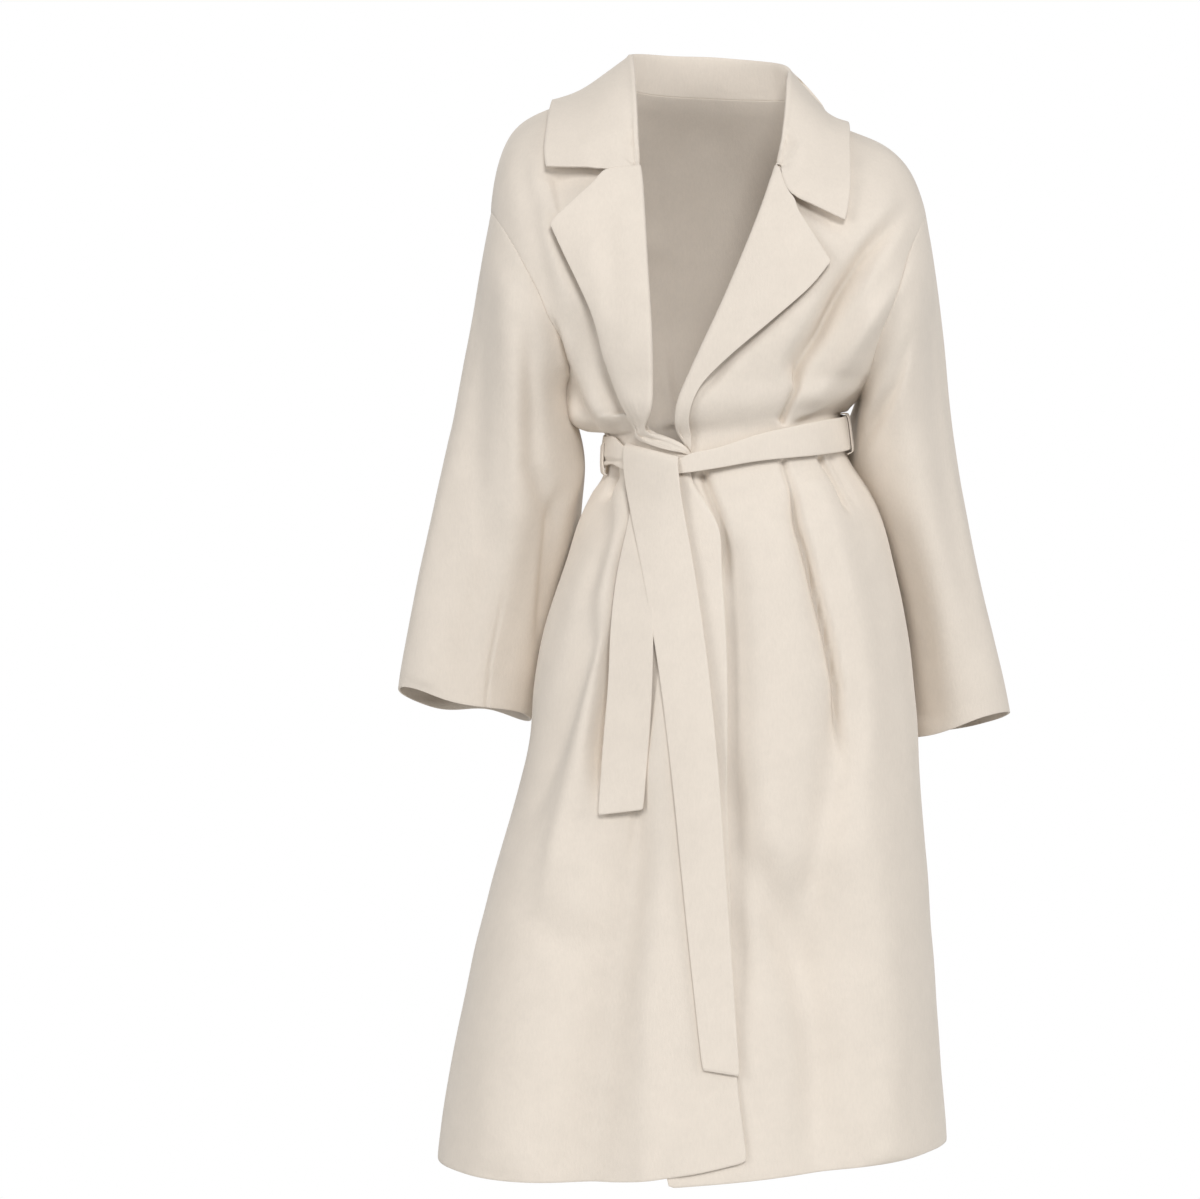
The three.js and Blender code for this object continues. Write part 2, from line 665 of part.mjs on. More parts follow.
// Collar stations from the coat's right lapel seam round the neck to its left one: the height
// of the stand above the neck seam, and the fall's outer edge as seen from the front or back.
// The seam counts 0.74 at the right lapel, 1 at its shoulder, 2 at the back, and on to the left.
const COLLAR = table("seam stand x z", [
  [0.74, 0, -171.6, -88.5],
  [0.79, 5, -173.5, -70],
  [0.84, 11, -171, -45],
  [0.92, 22, -168, -24],
  [1, 31, -163, -11],
  [1.2, 35, -144, -30],
  [1.45, 38, -112, -46],
  [1.7, 39, -62, -54],
  [2, 40, 0, -57],
  [2.3, 39, 62, -56],
  [2.55, 37, 104, -52],
  [2.8, 33, 130, -44],
  [3, 25, 141, -35],
  [3.08, 20, 140, -56],
  [3.16, 11, 139, -88],
  [3.21, 5, 137, -118],
  [3.26, 0, 130.6, -146.5],
]);
const COLLAR_STEPS = [
  0.74, 0.765, 0.79, 0.815, 0.84, 0.88, 0.92, 0.96, 1, 1.06, 1.13, 1.2, 1.28, 1.36, 1.45, 1.55, 1.65,
  1.75, 1.87, 2, 2.13, 2.25, 2.35, 2.45, 2.55, 2.64, 2.72, 2.8, 2.87, 2.94, 3, 3.04, 3.08, 3.12, 3.16,
  3.185, 3.21, 3.235, 3.26,
];
const STAND_COLUMNS = 3;
const FALL_COLUMNS = 5;

// The neck seam: up each front's neck edge, then round the top of the back.
function neckSeam(station, bodies) {
  const name = station < 2 ? "right" : "left";
  const share = station < 2 ? station : 4 - station;
  if (share <= 1) return point(between(NECKLINES[name], "share", share));
  const top = bodies.back[bodies.back.length - 1];
  const t = (1 + (station - 2) * 0.4) * BODY_COLUMNS;
  const i = Math.min(top.length - 2, Math.floor(t));
  return top[i].clone().lerp(top[i + 1], t - i);
}

function collarRow(seamAt, bodies) {
  const station = between(COLLAR, "seam", seamAt);
  const name = seamAt < 2 ? "right" : "left";
  const share = seamAt < 2 ? seamAt : 4 - seamAt;
  const seam = neckSeam(seamAt, bodies);
  const end = V(station.x, 0, station.z);
  const notch = V(NOTCHES[name].x, 0, NOTCHES[name].z + 1.6);
  const flat = V(seam.x, 0, seam.z + 1.6);
  const through = share < 0.75 ? [flat, notch, end] : [flat, end];
  const inward = V(-seam.x, share > 1 ? -seam.y : 0, 0).normalize();
  const up = V(0, 0, 1).addScaledVector(inward, 0.12);
  up.add(V(0, -2 * Math.max(0, 1 - share), 0)).normalize();
  const lean = 0.6 * clamp(1.7 - Math.abs(seamAt - 2) * 1.4);
  const foot = seam.clone().addScaledVector(up, NECK_GAP + 0.6 - lean + CLOTH / 2);
  const crown = foot.clone().addScaledVector(up, station.stand);
  const line = steps(STAND_COLUMNS).map((t) => foot.clone().lerp(crown, t));
  const ridge = 2.8 * hump((share - 1) / 0.12);
  for (const t of [0.35, 0.68, 1]) {
    const rise = Math.sin(t * Math.PI) * ROLL * 1.2;
    const over = crown.clone().addScaledVector(inward, -ROLL * (1 - Math.cos(t * Math.PI)));
    line.push(over.addScaledVector(up, rise));
  }
  for (const t of steps(FALL_COLUMNS).slice(1)) {
    const p = alongPath(through, t);
    const at = collarBed(name, share, seam, end, p, t, bodies);
    const standing = mix(station.stand, 0, ease(t * 1.3)) * 0.8;
    const high = standing + mix(2 * ROLL, STAND_OFF + 0.6, ease(t)) + ridge;
    const n = at.n.lerp(up, (1 - t) * clamp(station.stand / 20)).normalize();
    line.push(at.p.addScaledVector(n, high));
  }
  return line;
}

// What the fall lies on: the front, the shoulder seam or the back.
function collarBed(name, share, seam, end, p, t, bodies) {
  const outward = (at, sign) => ({ p: at.p.clone(), n: at.n.y * sign < 0 ? at.n.negate() : at.n });
  if (share < 0.999) return outward(onGrid(bodies[name], p.x, p.z, 1), -1);
  if (share > 1.001) return outward(onGrid(bodies.back, p.x, p.z, 1), 1);
  return shoulderPoint(name, seam, end, t);
}

function shoulderPoint(name, seam, end, t) {
  const x = mix(seam.x, end.x, t);
  const rows = SHOULDERS[name];
  const sign = ARMHOLES[name].side;
  let share = 0;
  while (share < 1 && between(rows, "share", share).x * sign < x * sign) share += 0.005;
  const p = point(between(rows, "share", share));
  const ahead = point(between(rows, "share", Math.min(1, share + 0.02)));
  const dir = ahead.sub(point(between(rows, "share", Math.max(0, share - 0.02)))).normalize();
  return { p, n: V(-dir.z * sign, 0, dir.x * sign).normalize() };
}

function collar(bodies) {
  const cloth = new Cloth("collar", CLOTH);
  cloth.grid(COLLAR_STEPS.map((seam) => collarRow(seam, bodies)));
  return cloth;
}

// A point over the wrapped front at (x, z), a distance out of the cloth's middle.
function overFront(x, z, out) {
  let ring = ringAt(x, -115, z);
  const y = ringPoint(angleAt(x, ring), ring).y;
  ring = ringAt(x, y, z);
  return ringPoint(angleAt(x, ring), ring, wrapLift(x, z) + out);
}

// The belt in front: how high it is, and how far its middle dips, towards the knot.
const BELT_FRONT = table("x height dip", [
  [-112, 31, -1.5],
  [-97, 28, -5.6],
  [-87, 24, 2],
  [-57, 19, 8.5],
  [-38, 11, 14.3],
  [-27, 19, 10],
  [0, 20, 7.8],
  [46, 27.5, 0.5],
  [110, BELT_HEIGHT, -1.5],
  [140, BELT_HEIGHT, 0],
]);

// How far the belt's middle stands out of the coat's middle surface at an angle round it.
// The long tail passes behind it at the knot.
function beltOut(angle) {
  const at = ringPoint(angle, WAIST);
  if (Math.cos(angle) < 0) return 3.5;
  const behind = ramp(-114, -92, at.x) * ramp(0, -24, at.x);
  const lift = Math.max(wrapLift(at.x, at.z), wrapLift(at.x, at.z - 12));
  return 3.5 + lift + 3.8 * behind;
}

// The belt round the waist, from under the knot right round to it.
function beltRing() {
  const [start, end] = [angleAt(-54, WAIST), angleAt(-60, WAIST) + 2 * Math.PI];
  const cloth = new Cloth("belt_waist", BELT);
  const flat = { height: BELT_HEIGHT, dip: 0 };
  const rows = [0.5, 0, -0.5].map((level) =>
    steps(68).map((t) => {
      const angle = mix(start, end, t);
      const inFront = Math.cos(angle) > 0;
      const shape = inFront ? between(BELT_FRONT, "x", ringPoint(angle, WAIST).x) : flat;
      return ringPoint(angle, WAIST - shape.dip + level * shape.height, beltOut(angle));
    }));
  cloth.grid(rows.reverse());
  return cloth;
}

// Tails of the belt: the middle line as seen from the front, the width, and how far the
// middle of the tail stands out of the cloth beneath it.
const TAIL_LONG = table("x z width out slant", [
  [-58, -408, 44, 3.2, -8],
  [-58, -396, 46, 3.2, -11],
  [-58, -386, 48, 3.3, -14],
  [-58, -379, 49, 3.9, -15],
  [-58, -376, 49, 7.9, -15],
  [-58, -378.5, 49, 11.7, -15],
  [-58, -388, 50, 12, -13],
  [-57, -404, 50, 11.4, -8],
  [-56, -428, 49, 8.4, -3],
  [-53, -460, 49, 7.6, 0],
  [-48.5, -495, 49, 7.4, 0],
  [-44, -530, 49, 7.6, 0],
  [-34.5, -607, 48, 7, 0],
  [-26, -690, 47, 3.8, 0],
  [-17.5, -781, 45, 3.3, 0],
  [-8, -877, 42, 3.3, 0],
  [3.5, -1003, 37, 3.3, -6],
]);
const TAIL_SHORT = table("x z width out slant", [
  [-64, -414, 28, 3.8, 0],
  [-68, -432, 26, 3.9, 0],
  [-73, -460, 29, 3.6, 0],
  [-80, -500, 35, 3.8, 0],
  [-84, -530, 37, 4, 0],
  [-87, -570, 40, 4, 0],
  [-90, -620, 41, 3.8, 0],
  [-95, -680, 42, 3.6, 0],
  [-99, -745, 42, 3.6, 6],
]);

function tail(name, path, columns) {
  const cloth = new Cloth(name, BELT);
  const rows = path.map((row, i) => {
    const ahead = path[Math.min(path.length - 1, i + 1)];
    const back = path[Math.max(0, i - 1)];
    const lean = row.slant ? 0 : (ahead.x - back.x) / (back.z - ahead.z);
    return steps(columns).map((t) => {
      const off = (t - 0.5) * row.width;
      return overFront(row.x + off, row.z + lean * off + row.slant * (t - 0.5), row.out);
    });
  });
  cloth.grid(rows.reverse());
  return cloth;
}

// A belt loop at the side seam: a narrow strip that passes over the belt.
function beltLoop(name, side) {
  const cloth = new Cloth(name, 1.6);
  const angle = side > 0 ? 1.4 : -1.36;
  const out = beltOut(angle);
  const profile = table("level out", [
    [22, 3.4],
    [20.5, out + 1.6],
    [18, out + 2.95],
    [7, out + 2.95],
    [-7, out + 2.95],
    [-18, out + 2.95],
    [-20.5, out + 1.6],
    [-22, 3.4],
  ]);
  cloth.grid(profile.map((row) =>
    steps(2).map((t) => ringPoint(angle + (t - 0.5) * 0.09, WAIST + row.level, row.out))).reverse());
  return cloth;
}

const CREAM = 0xdfd6ca;
const bodies = { back: backRows() };
const pieces = ["right", "left"].map((name) => {
  const made = front(name);
  bodies[name] = made.body;
  return made.cloth;
});
const back = new Cloth("back", CLOTH);
back.grid(bodies.back.map((row) => [...row].reverse()));
pieces.push(back, sleeve("right"), sleeve("left"), collar(bodies), beltRing());
pieces.push(tail("belt_tail_long", TAIL_LONG, 4), tail("belt_tail_short", TAIL_SHORT, 4));
pieces.push(beltLoop("belt_loop_right", -1), beltLoop("belt_loop_left", 1));

const coat = new THREE.Group();
for (const piece of pieces) coat.add(piece.mesh(CREAM));

export default coat;
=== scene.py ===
import math
from typing import NamedTuple

import bmesh
import bpy
import numpy as np
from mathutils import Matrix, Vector, noise
from mathutils.bvhtree import BVHTree
from mathutils.kdtree import KDTree


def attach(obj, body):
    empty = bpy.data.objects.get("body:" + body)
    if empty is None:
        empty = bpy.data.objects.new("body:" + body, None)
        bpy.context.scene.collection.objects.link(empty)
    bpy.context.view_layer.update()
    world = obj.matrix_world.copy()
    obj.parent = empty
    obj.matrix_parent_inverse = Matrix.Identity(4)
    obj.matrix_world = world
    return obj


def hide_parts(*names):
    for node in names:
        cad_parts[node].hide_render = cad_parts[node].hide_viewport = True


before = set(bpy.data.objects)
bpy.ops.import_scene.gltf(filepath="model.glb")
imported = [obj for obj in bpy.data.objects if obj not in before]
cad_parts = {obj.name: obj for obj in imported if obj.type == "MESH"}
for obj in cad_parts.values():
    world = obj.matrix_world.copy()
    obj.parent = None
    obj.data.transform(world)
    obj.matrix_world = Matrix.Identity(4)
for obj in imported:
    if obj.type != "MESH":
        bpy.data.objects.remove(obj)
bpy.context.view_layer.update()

# Lengths in this file are in millimetres until a mesh is written, in metres.
MM = 0.001


def smooth(low, high, value):
    """None at low and one at high, with soft ends."""
    t = np.clip((value - low) / (high - low), 0, 1)
    return t * t * (3 - 2 * t)


# The camera: where the photograph was taken from, and a frame 1260 mm wide at the coat.
camera_data = bpy.data.cameras.new("camera")
camera = bpy.data.objects.new("camera", camera_data)
bpy.context.scene.collection.objects.link(camera)
camera.location = (-0.117, -3.5, -0.53)
camera.rotation_euler = (math.pi / 2, 0, 0)
camera_data.sensor_width = 36  # mm, as is the lens
camera_data.lens = 100
bpy.context.scene.camera = camera

# Half width, half depth and middle of the body at each height, for the way out of it.
BODY = np.array([
    # height z, middle x, half width, half depth
    [-1113, -20, 266, 178],
    [-950, -12, 247, 168],
    [-803, 1, 224, 157],
    [-677, 14, 202, 148],
    [-580, 14, 194, 140],
    [-484, 18, 169, 128],
    [-425, 19, 143, 110],
    [-366, 13, 124, 94],
    [-305, 4, 156, 114],
    [-200, 0, 190, 118],
    [-100, 0, 210, 100],
    [0, 0, 220, 70],
])
SIDE_Y = 5  # depth of the side seams, where the front meets the back


def body_out(p):
    """The way out of the body at points p, level."""
    middle, half_width, half_depth = [np.interp(p[:, 2], BODY[:, 0], BODY[:, k]) for k in (1, 2, 3)]
    across = (p[:, 0] - middle) / half_width**2
    n = np.stack([across, (p[:, 1] - SIDE_Y) / half_depth**2, np.zeros(len(p))], 1)
    return n / np.maximum(np.linalg.norm(n, axis=1, keepdims=True), 1e-9)


class Fold(NamedTuple):
    """A ridge or trough of the cloth, as the front or the back shows it."""
    face: str  # the side that it shows on
    only: str  # the one piece that it is in, or none where it is in all of them
    depth: float  # out of the cloth, and less than nothing for a trough
    left: float  # its half width on the left
    right: float  # and on the right
    pull: float  # how far its right lip is drawn over it, or less than nothing for its left lip
    fade_in: float  # half the length over which it starts
    fade_out: float  # and over which it ends
    path: list  # points (x, z) along it, from its top


FOLDS = [
    Fold("front", "front_right", -3.5, 12, 14, 0, 30, 40,
         [(-110, -132), (-109, -170), (-105, -222)]),
    Fold("front", "", -6, 5, 3, 2, 4, 20,
         [(72, -387), (80, -414), (88, -436), (98, -471)]),
    Fold("front", "", -18, 12, 3, 7, 26, 50,
         [(88, -436), (98, -471), (110, -522), (121, -564), (128, -599), (132, -619), (132, -658)]),
    Fold("front", "", 6, 16, 22, 0, 15, 80,
         [(101, -400), (116, -445), (133, -505), (147, -560), (153, -621), (155, -691)]),
    Fold("front", "", -11, 22, 17, 0, 50, 50,
         [(129, -640), (124, -700), (113, -761), (100, -820), (92, -850)]),
    Fold("front", "", -10, 5, 3, 2, 5, 12,
         [(112, -382), (124, -403), (130, -414), (138, -436)]),
    Fold("front", "", -4, 5, 4, 1, 4, 16,
         [(122, -379), (134, -405), (145, -429)]),
    Fold("front", "", -11, 20, 22, 0, 50, 90,
         [(21, -716), (33, -773), (50, -824), (76, -870), (94, -925), (101, -996), (104, -1080)]),
    Fold("front", "", 6, 30, 30, 0, 90, 5,
         [(153, -711), (166, -833), (174, -935), (180, -1097)]),
    Fold("front", "", 4, 26, 26, 0, 60, 60,
         [(48, -530), (58, -690), (43, -760)]),
    Fold("front", "", 7, 28, 34, 0, 30, 30,
         [(20, -752), (62, -782), (108, -790), (146, -778)]),
    Fold("front", "", -8, 44, 44, 0, 34, 34,
         [(34, -872), (82, -886), (136, -882)]),
    Fold("front", "front_left", -9, 20, 15, 0, 25, 60,
         [(13, -470), (16, -520), (17, -590), (17, -660), (17, -730), (18, -830), (22, -914)]),
    Fold("front", "front_left", -11, 4, 5, 0, 4, 20,
         [(-14, -400), (-6, -424), (3, -446), (8, -475), (9, -505)]),
    Fold("front", "front_right", -5, 4, 3.5, 1.5, 4, 12,
         [(-25, -400), (-18, -418), (-11, -433), (-5, -448)]),
    Fold("front", "", -4, 6, 6, 0, 40, 40,
         [(-66, -600), (-69, -649), (-76, -701), (-85, -780)]),
    Fold("front", "", -16, 48, 26, 0, 60, 4,
         [(-78, -750), (-89, -812), (-104, -878), (-111, -935), (-122, -1005), (-129, -1070),
          (-135, -1150)]),
    Fold("front", "", 5, 15, 20, 0, 50, 4,
         [(-49, -630), (-57, -730), (-65, -830), (-71, -930), (-73, -1136)]),
    Fold("front", "", -15, 4, 3, -3, 4, 9,
         [(-104, -389), (-102, -404), (-106, -424)]),
    Fold("front", "", -6, 9, 11, 0, 22, 40,
         [(-107, -428), (-114, -464), (-124, -505), (-134, -540)]),
    Fold("front", "", -9, 5, 4, 0, 8, 50,
         [(-82, -397), (-81, -428), (-84, -453), (-91, -474), (-96, -500), (-100, -550),
          (-105, -622)]),
    Fold("front", "", 3, 6, 6, 0, 14, 30,
         [(-93, -412), (-100, -458), (-110, -510)]),
    Fold("front", "", -19, 8, 5, 2, 26, 30,
         [(-106, -571), (-110, -615), (-117, -652), (-121, -680), (-121, -719)]),
    Fold("front", "", -11, 20, 14, 1.5, 30, 40,
         [(-120, -556), (-134, -595), (-148, -633), (-172, -704), (-192, -758)]),
    Fold("front", "", 6, 10, 10, 0, 40, 60,
         [(-111, -490), (-117, -570), (-132, -650), (-151, -731), (-169, -811)]),
    Fold("front", "", 4, 16, 16, 0, 50, 60,
         [(-142, -530), (-161, -610), (-181, -691), (-198, -782)]),
    Fold("front", "", -5, 16, 22, 0, 26, 26,
         [(-190, -857), (-157, -876), (-114, -878)]),
    Fold("front", "", 5, 26, 30, 0, 40, 40,
         [(-165, -761), (-161, -831)]),
    Fold("front", "", 5, 30, 30, 0, 60, 4,
         [(-198, -893), (-213, -995), (-220, -1107)]),
    Fold("front", "", -21, 14, 8, 3, 50, 14,
         [(183, -150), (165, -176), (145, -205), (129, -230), (114, -256), (96, -282), (84, -302)]),
    Fold("front", "", 6, 10, 13, 0, 40, 12,
         [(200, -190), (174, -228), (142, -268), (118, -300), (97, -330)]),
    Fold("front", "", -11, 6, 3.5, 3, 8, 4,
         [(94, -298), (84, -321), (71, -349)]),
    Fold("front", "", -9, 4, 11, 0, 14, 8,
         [(160, -306), (138, -320), (119, -333), (102, -344), (87, -350)]),
    Fold("front", "", -10, 7, 5, -2, 16, 4,
         [(-168, -249), (-155, -287), (-143, -314), (-127, -340), (-113, -364)]),
    Fold("front", "", 5, 8, 8, 0, 16, 6,
         [(-151, -259), (-137, -295), (-121, -325), (-105, -350)]),
    Fold("front", "", -6, 11, 13, 0, 36, 36,
         [(-199, -76), (-190, -127), (-183, -171), (-171, -233)]),
    Fold("front", "", -7, 12, 9, 0, 30, 5,
         [(-134, -239), (-125, -282), (-103, -332), (-84, -360)]),
    Fold("back", "", -12, 16, 8, 3, 6, 90,
         [(-60, -400), (-92, -560), (-126, -720)]),
    Fold("back", "", 6, 14, 16, 0, 12, 90,
         [(-38, -400), (-62, -560), (-92, -760)]),
    Fold("back", "", -8, 12, 12, 0, 6, 120,
         [(-8, -396), (-22, -560), (-30, -760)]),
    Fold("back", "", 8, 24, 30, 0, 90, 4,
         [(-30, -640), (-46, -860), (-62, -1140)]),
    Fold("back", "", -11, 20, 12, 2, 6, 4,
         [(28, -398), (42, -560), (56, -900), (60, -1140)]),
    Fold("back", "", 6, 14, 18, 0, 14, 90,
         [(64, -400), (84, -560), (104, -760)]),
    Fold("back", "", -11, 8, 15, -3, 6, 80,
         [(92, -400), (122, -560), (150, -740)]),
    Fold("back", "", -6, 6, 8, -2, 6, 50,
         [(118, -396), (150, -480), (172, -560)]),
    Fold("back", "", -7, 8, 6, 2, 6, 50,
         [(-100, -396), (-130, -480), (-156, -580)]),
    Fold("back", "", -9, 32, 26, 0, 80, 4,
         [(-150, -640), (-172, -860), (-196, -1140)]),
    Fold("back", "", 6, 28, 28, 0, 80, 4,
         [(-110, -760), (-124, -940), (-136, -1140)]),
    Fold("back", "", 6, 28, 24, 0, 80, 4,
         [(128, -740), (142, -940), (154, -1140)]),
    Fold("back", "", -9, 30, 30, 0, 80, 4,
         [(176, -640), (188, -860), (202, -1140)]),
    Fold("back", "", -10, 17, 8, 2, 40, 6,
         [(-136, -180), (-112, -260), (-92, -342)]),
    Fold("back", "", -10, 8, 17, -2, 40, 6,
         [(134, -180), (112, -260), (94, -342)]),
    Fold("back", "", -6, 11, 9, 0, 34, 5,
         [(-50, -262), (-40, -344)]),
    Fold("back", "", -5, 9, 11, 0, 34, 5,
         [(12, -276), (10, -344)]),
    Fold("back", "", -6, 10, 12, 0, 34, 5,
         [(58, -250), (50, -344)]),
    Fold("back", "", -4, 14, 16, 0, 40, 40,
         [(-150, -120), (-60, -150)]),
]


LIP_PAST = 2  # how far past a fold's half width its lip stands
LIP_WIDTH = 8  # and how wide that lip is
END_REACH = 90  # no fold reaches further past its ends


def along(points, x, z):
    """For places x, z: the distance across a path of (x, z) points, more than nothing to its
    right as the front shows it when the path runs down, and the length along it. Then the
    whole length of the path."""
    best = np.full(len(x), 1e9)
    signed = np.zeros(len(x))
    length = np.zeros(len(x))
    run = 0.0
    for (x0, z0), (x1, z1) in zip(points, points[1:]):
        d = math.hypot(x1 - x0, z1 - z0)
        ux, uz = (x1 - x0) / d, (z1 - z0) / d
        t = (x - x0) * ux + (z - z0) * uz
        inside = np.clip(t, 0, d)
        away = np.hypot(x - x0 - ux * inside, z - z0 - uz * inside)
        across = (z - z0) * ux - (x - x0) * uz
        near = away < best
        best = np.where(near, away, best)
        signed = np.where(near, across, signed)
        length = np.where(near, run + t, length)
        run += d
    return signed, length, run


def folded(p, out, name, folds):
    """How far the folds move points p: out of the cloth, and to the left or right."""
    total = np.zeros(len(p))
    aside = np.zeros((len(p), 3))
    right = np.abs(out[:, 1:2]) * (1, 0, 0) - (out[:, 0] * out[:, 1] / np.maximum(
        np.abs(out[:, 1]), 1e-6))[:, None] * (0, 1, 0)
    for fold in folds:
        if fold.only and fold.only != name:
            continue
        shows = smooth(0.05, 0.45, -out[:, 1] if fold.face == "front" else out[:, 1])
        reach = 3 * max(fold.left, fold.right) + LIP_PAST + LIP_WIDTH
        xs, zs = [q[0] for q in fold.path], [q[1] for q in fold.path]
        near = (shows > 0) & (p[:, 0] > min(xs) - reach) & (p[:, 0] < max(xs) + reach)
        near &= (p[:, 2] > min(zs) - END_REACH) & (p[:, 2] < max(zs) + END_REACH)
        if not near.any():
            continue
        away, at, run = along(fold.path, p[near, 0], p[near, 2])
        ends = smooth(-fold.fade_in, fold.fade_in, at)
        ends = ends * smooth(-fold.fade_out, fold.fade_out, run - at)
        ends *= shows[near]
        width = np.where(away < 0, fold.left, fold.right)
        total[near] += fold.depth * np.exp(-((away / width) ** 2)) * ends
        if fold.pull:
            side = 1 if fold.pull > 0 else -1
            lip = fold.right if fold.pull > 0 else fold.left
            drawn = np.exp(-(((away * side - lip - LIP_PAST) / LIP_WIDTH) ** 2)) * ends
            drawn = drawn * abs(fold.pull)
            aside[near] -= right[near] * (drawn * side)[:, None]
    return total, aside


# Where cloth is fuller than the form: whose cloth it is, the middle, reaches and greatest move.
FULLNESS = [
    ("sleeve_right", (-150, 40, -370), (45, 60, 70), (13, 0, 0)),
    ("sleeve_right", (-148, -40, -420), (45, 60, 55), (13, -3, 0)),
    ("sleeve_right", (-272, 0, -655), (42, 45, 60), (0, 0, -17)),
    ("sleeve_right", (-240, 105, -680), (40, 50, 60), (0, 0, 15)),
    ("sleeve_right", (-222, -10, -648), (36, 50, 55), (0, 0, -6)),
    ("sleeve_left", (250, 100, -695), (44, 50, 60), (0, 0, 10)),
    ("sleeve_left", (240, 0, -668), (45, 45, 55), (0, 0, -7)),
    ("sleeve_left", (160, -20, -375), (42, 90, 80), (-12, -3, 0)),
    ("sleeve_left", (168, 70, -375), (45, 45, 75), (-14, 0, 0)),
    ("coat", (-130, -10, -428), (55, 70, 42), (-9, 0, 0)),
    ("coat", (182, -65, -225), (42, 70, 80), (0, -17, 0)),
    ("coat", (170, -55, -312), (34, 60, 45), (0, -10, 0)),
    ("front_right", (15, -150, -700), (34, 200, 190), (-7, 0, 0)),
    ("front_right", (24, -170, -1000), (34, 200, 120), (-10, 0, 0)),
    ("front_right", (2, -120, -446), (30, 200, 42), (11, 0, 0)),
    ("belt_tail_short", (-85, -150, -620), (90, 200, 170), (8, 0, 0)),
    ("belt_tail_long", (-50, -150, -650), (90, 200, 200), (5, 0, 0)),
]
# Where the cloth above the belt is full and droops over it: middle, reaches and greatest move.
DROOPS = [
    ((-140, 0, -342), (42, 80, 26), (-9, 0, -6)),
    ((152, 5, -320), (36, 80, 26), (9, 0, -7)),
]

# Hollows of the cloth under the edges of the lapels and the collar.
HOLLOWS = [
    Fold("front", "front_right", -11, 24, 14, 0, 14, 6,
         [(-178, -97), (-107, -97)]),
    Fold("front", "front_right", -5, 2.5, 16, 0, 4, 12,
         [(-171, -97), (-158, -134)]),
    Fold("front", "front_left", -8, 10, 14, 0, 5, 14,
         [(72, -121), (131, -151)]),
    Fold("front", "front_right", -10, 9, 14, 0, 20, 8,
         [(-165, -144), (-148, -185), (-129, -224), (-119, -270), (-105, -321), (-90, -354)]),
    Fold("front", "front_left", -5, 14, 7, 0, 16, 20,
         [(115, -187), (87, -214), (51, -250), (14, -285), (-10, -316)]),
]


WAIST = -366  # middle of the belt on the coat's centre line
BELT_SLOPE_X = 0.086  # the belt stands higher on the coat's left
BELT_SLOPE_Y = 0.12  # and higher at the back
HALF_BELT = 17  # half the height that the belt holds in
BELT_EASE = 26  # height over which the cloth comes free of it
DROOP_EASE = 9  # height over which the cloth above the belt begins to droop
DROOP_GAP = 2  # from the belt's edge to where it begins


def belt_height(p):
    """Height of the belt's middle at points p."""
    return WAIST + BELT_SLOPE_X * p[:, 0] + BELT_SLOPE_Y * p[:, 1]


def free_of_belt(p):
    """None at the belt, which holds the cloth in, and one well away from it."""
    return smooth(0, BELT_EASE, np.abs(p[:, 2] - belt_height(p)) - HALF_BELT)


def pinched(depth, p):
    """Depths at points p, where the belt lets no ridge stand out."""
    return np.where(depth > 0, depth * free_of_belt(p), depth)


def fullness(p, name):
    """How far points p move where the cloth is fuller."""
    move = np.zeros_like(p)
    for whose, middle, reach, step in FULLNESS:
        if whose != name and (whose != "coat" or name.startswith("belt")):
            continue
        far = (((p - middle) / reach) ** 2).sum(1)
        move += np.exp(-far)[:, None] * step
    if "tail" in name or name.startswith("sleeve"):
        return move
    move *= free_of_belt(p)[:, None]
    above = smooth(0, DROOP_EASE, p[:, 2] - belt_height(p) - HALF_BELT - DROOP_GAP)
    for middle, reach, step in DROOPS:
        far = (((p - middle) / reach) ** 2).sum(1)
        move += (np.exp(-far) * above)[:, None] * step
    return move


WAVE_DEPTH = 0.9
WAVE_ACROSS = 38  # size of a wave across the coat
WAVE_DOWN = 60  # and down it


def waves(p):
    """Small unevenness of a limp cloth at points p."""
    sizes = (WAVE_ACROSS, WAVE_ACROSS, WAVE_DOWN)
    return WAVE_DEPTH * np.array([noise.noise(q / sizes) for q in p])


SEAMS = {}  # the ring of each sleeve that is sewn to its armhole
LAPELS = {}  # which points of each front are in its turned lapel
PAST_WALL = 3  # just more than the cloth's wall
LAPEL_REACH = 14  # furthest that a lapel stands off the cloth under it


def turned(p, faces):
    """Which points of a front lie over more of its own cloth: those of its lapel."""
    wall = BVHTree.FromPolygons(p.tolist(), faces)
    return np.array([
        wall.ray_cast(q + PAST_WALL * n, n, LAPEL_REACH)[0] is not None
        for q, n in zip(p, -body_out(p))])


def seam_distance(p, name):
    """How far points p of a sleeve are from its armhole."""
    return np.array([SEAMS[name].find(q)[2] for q in p])


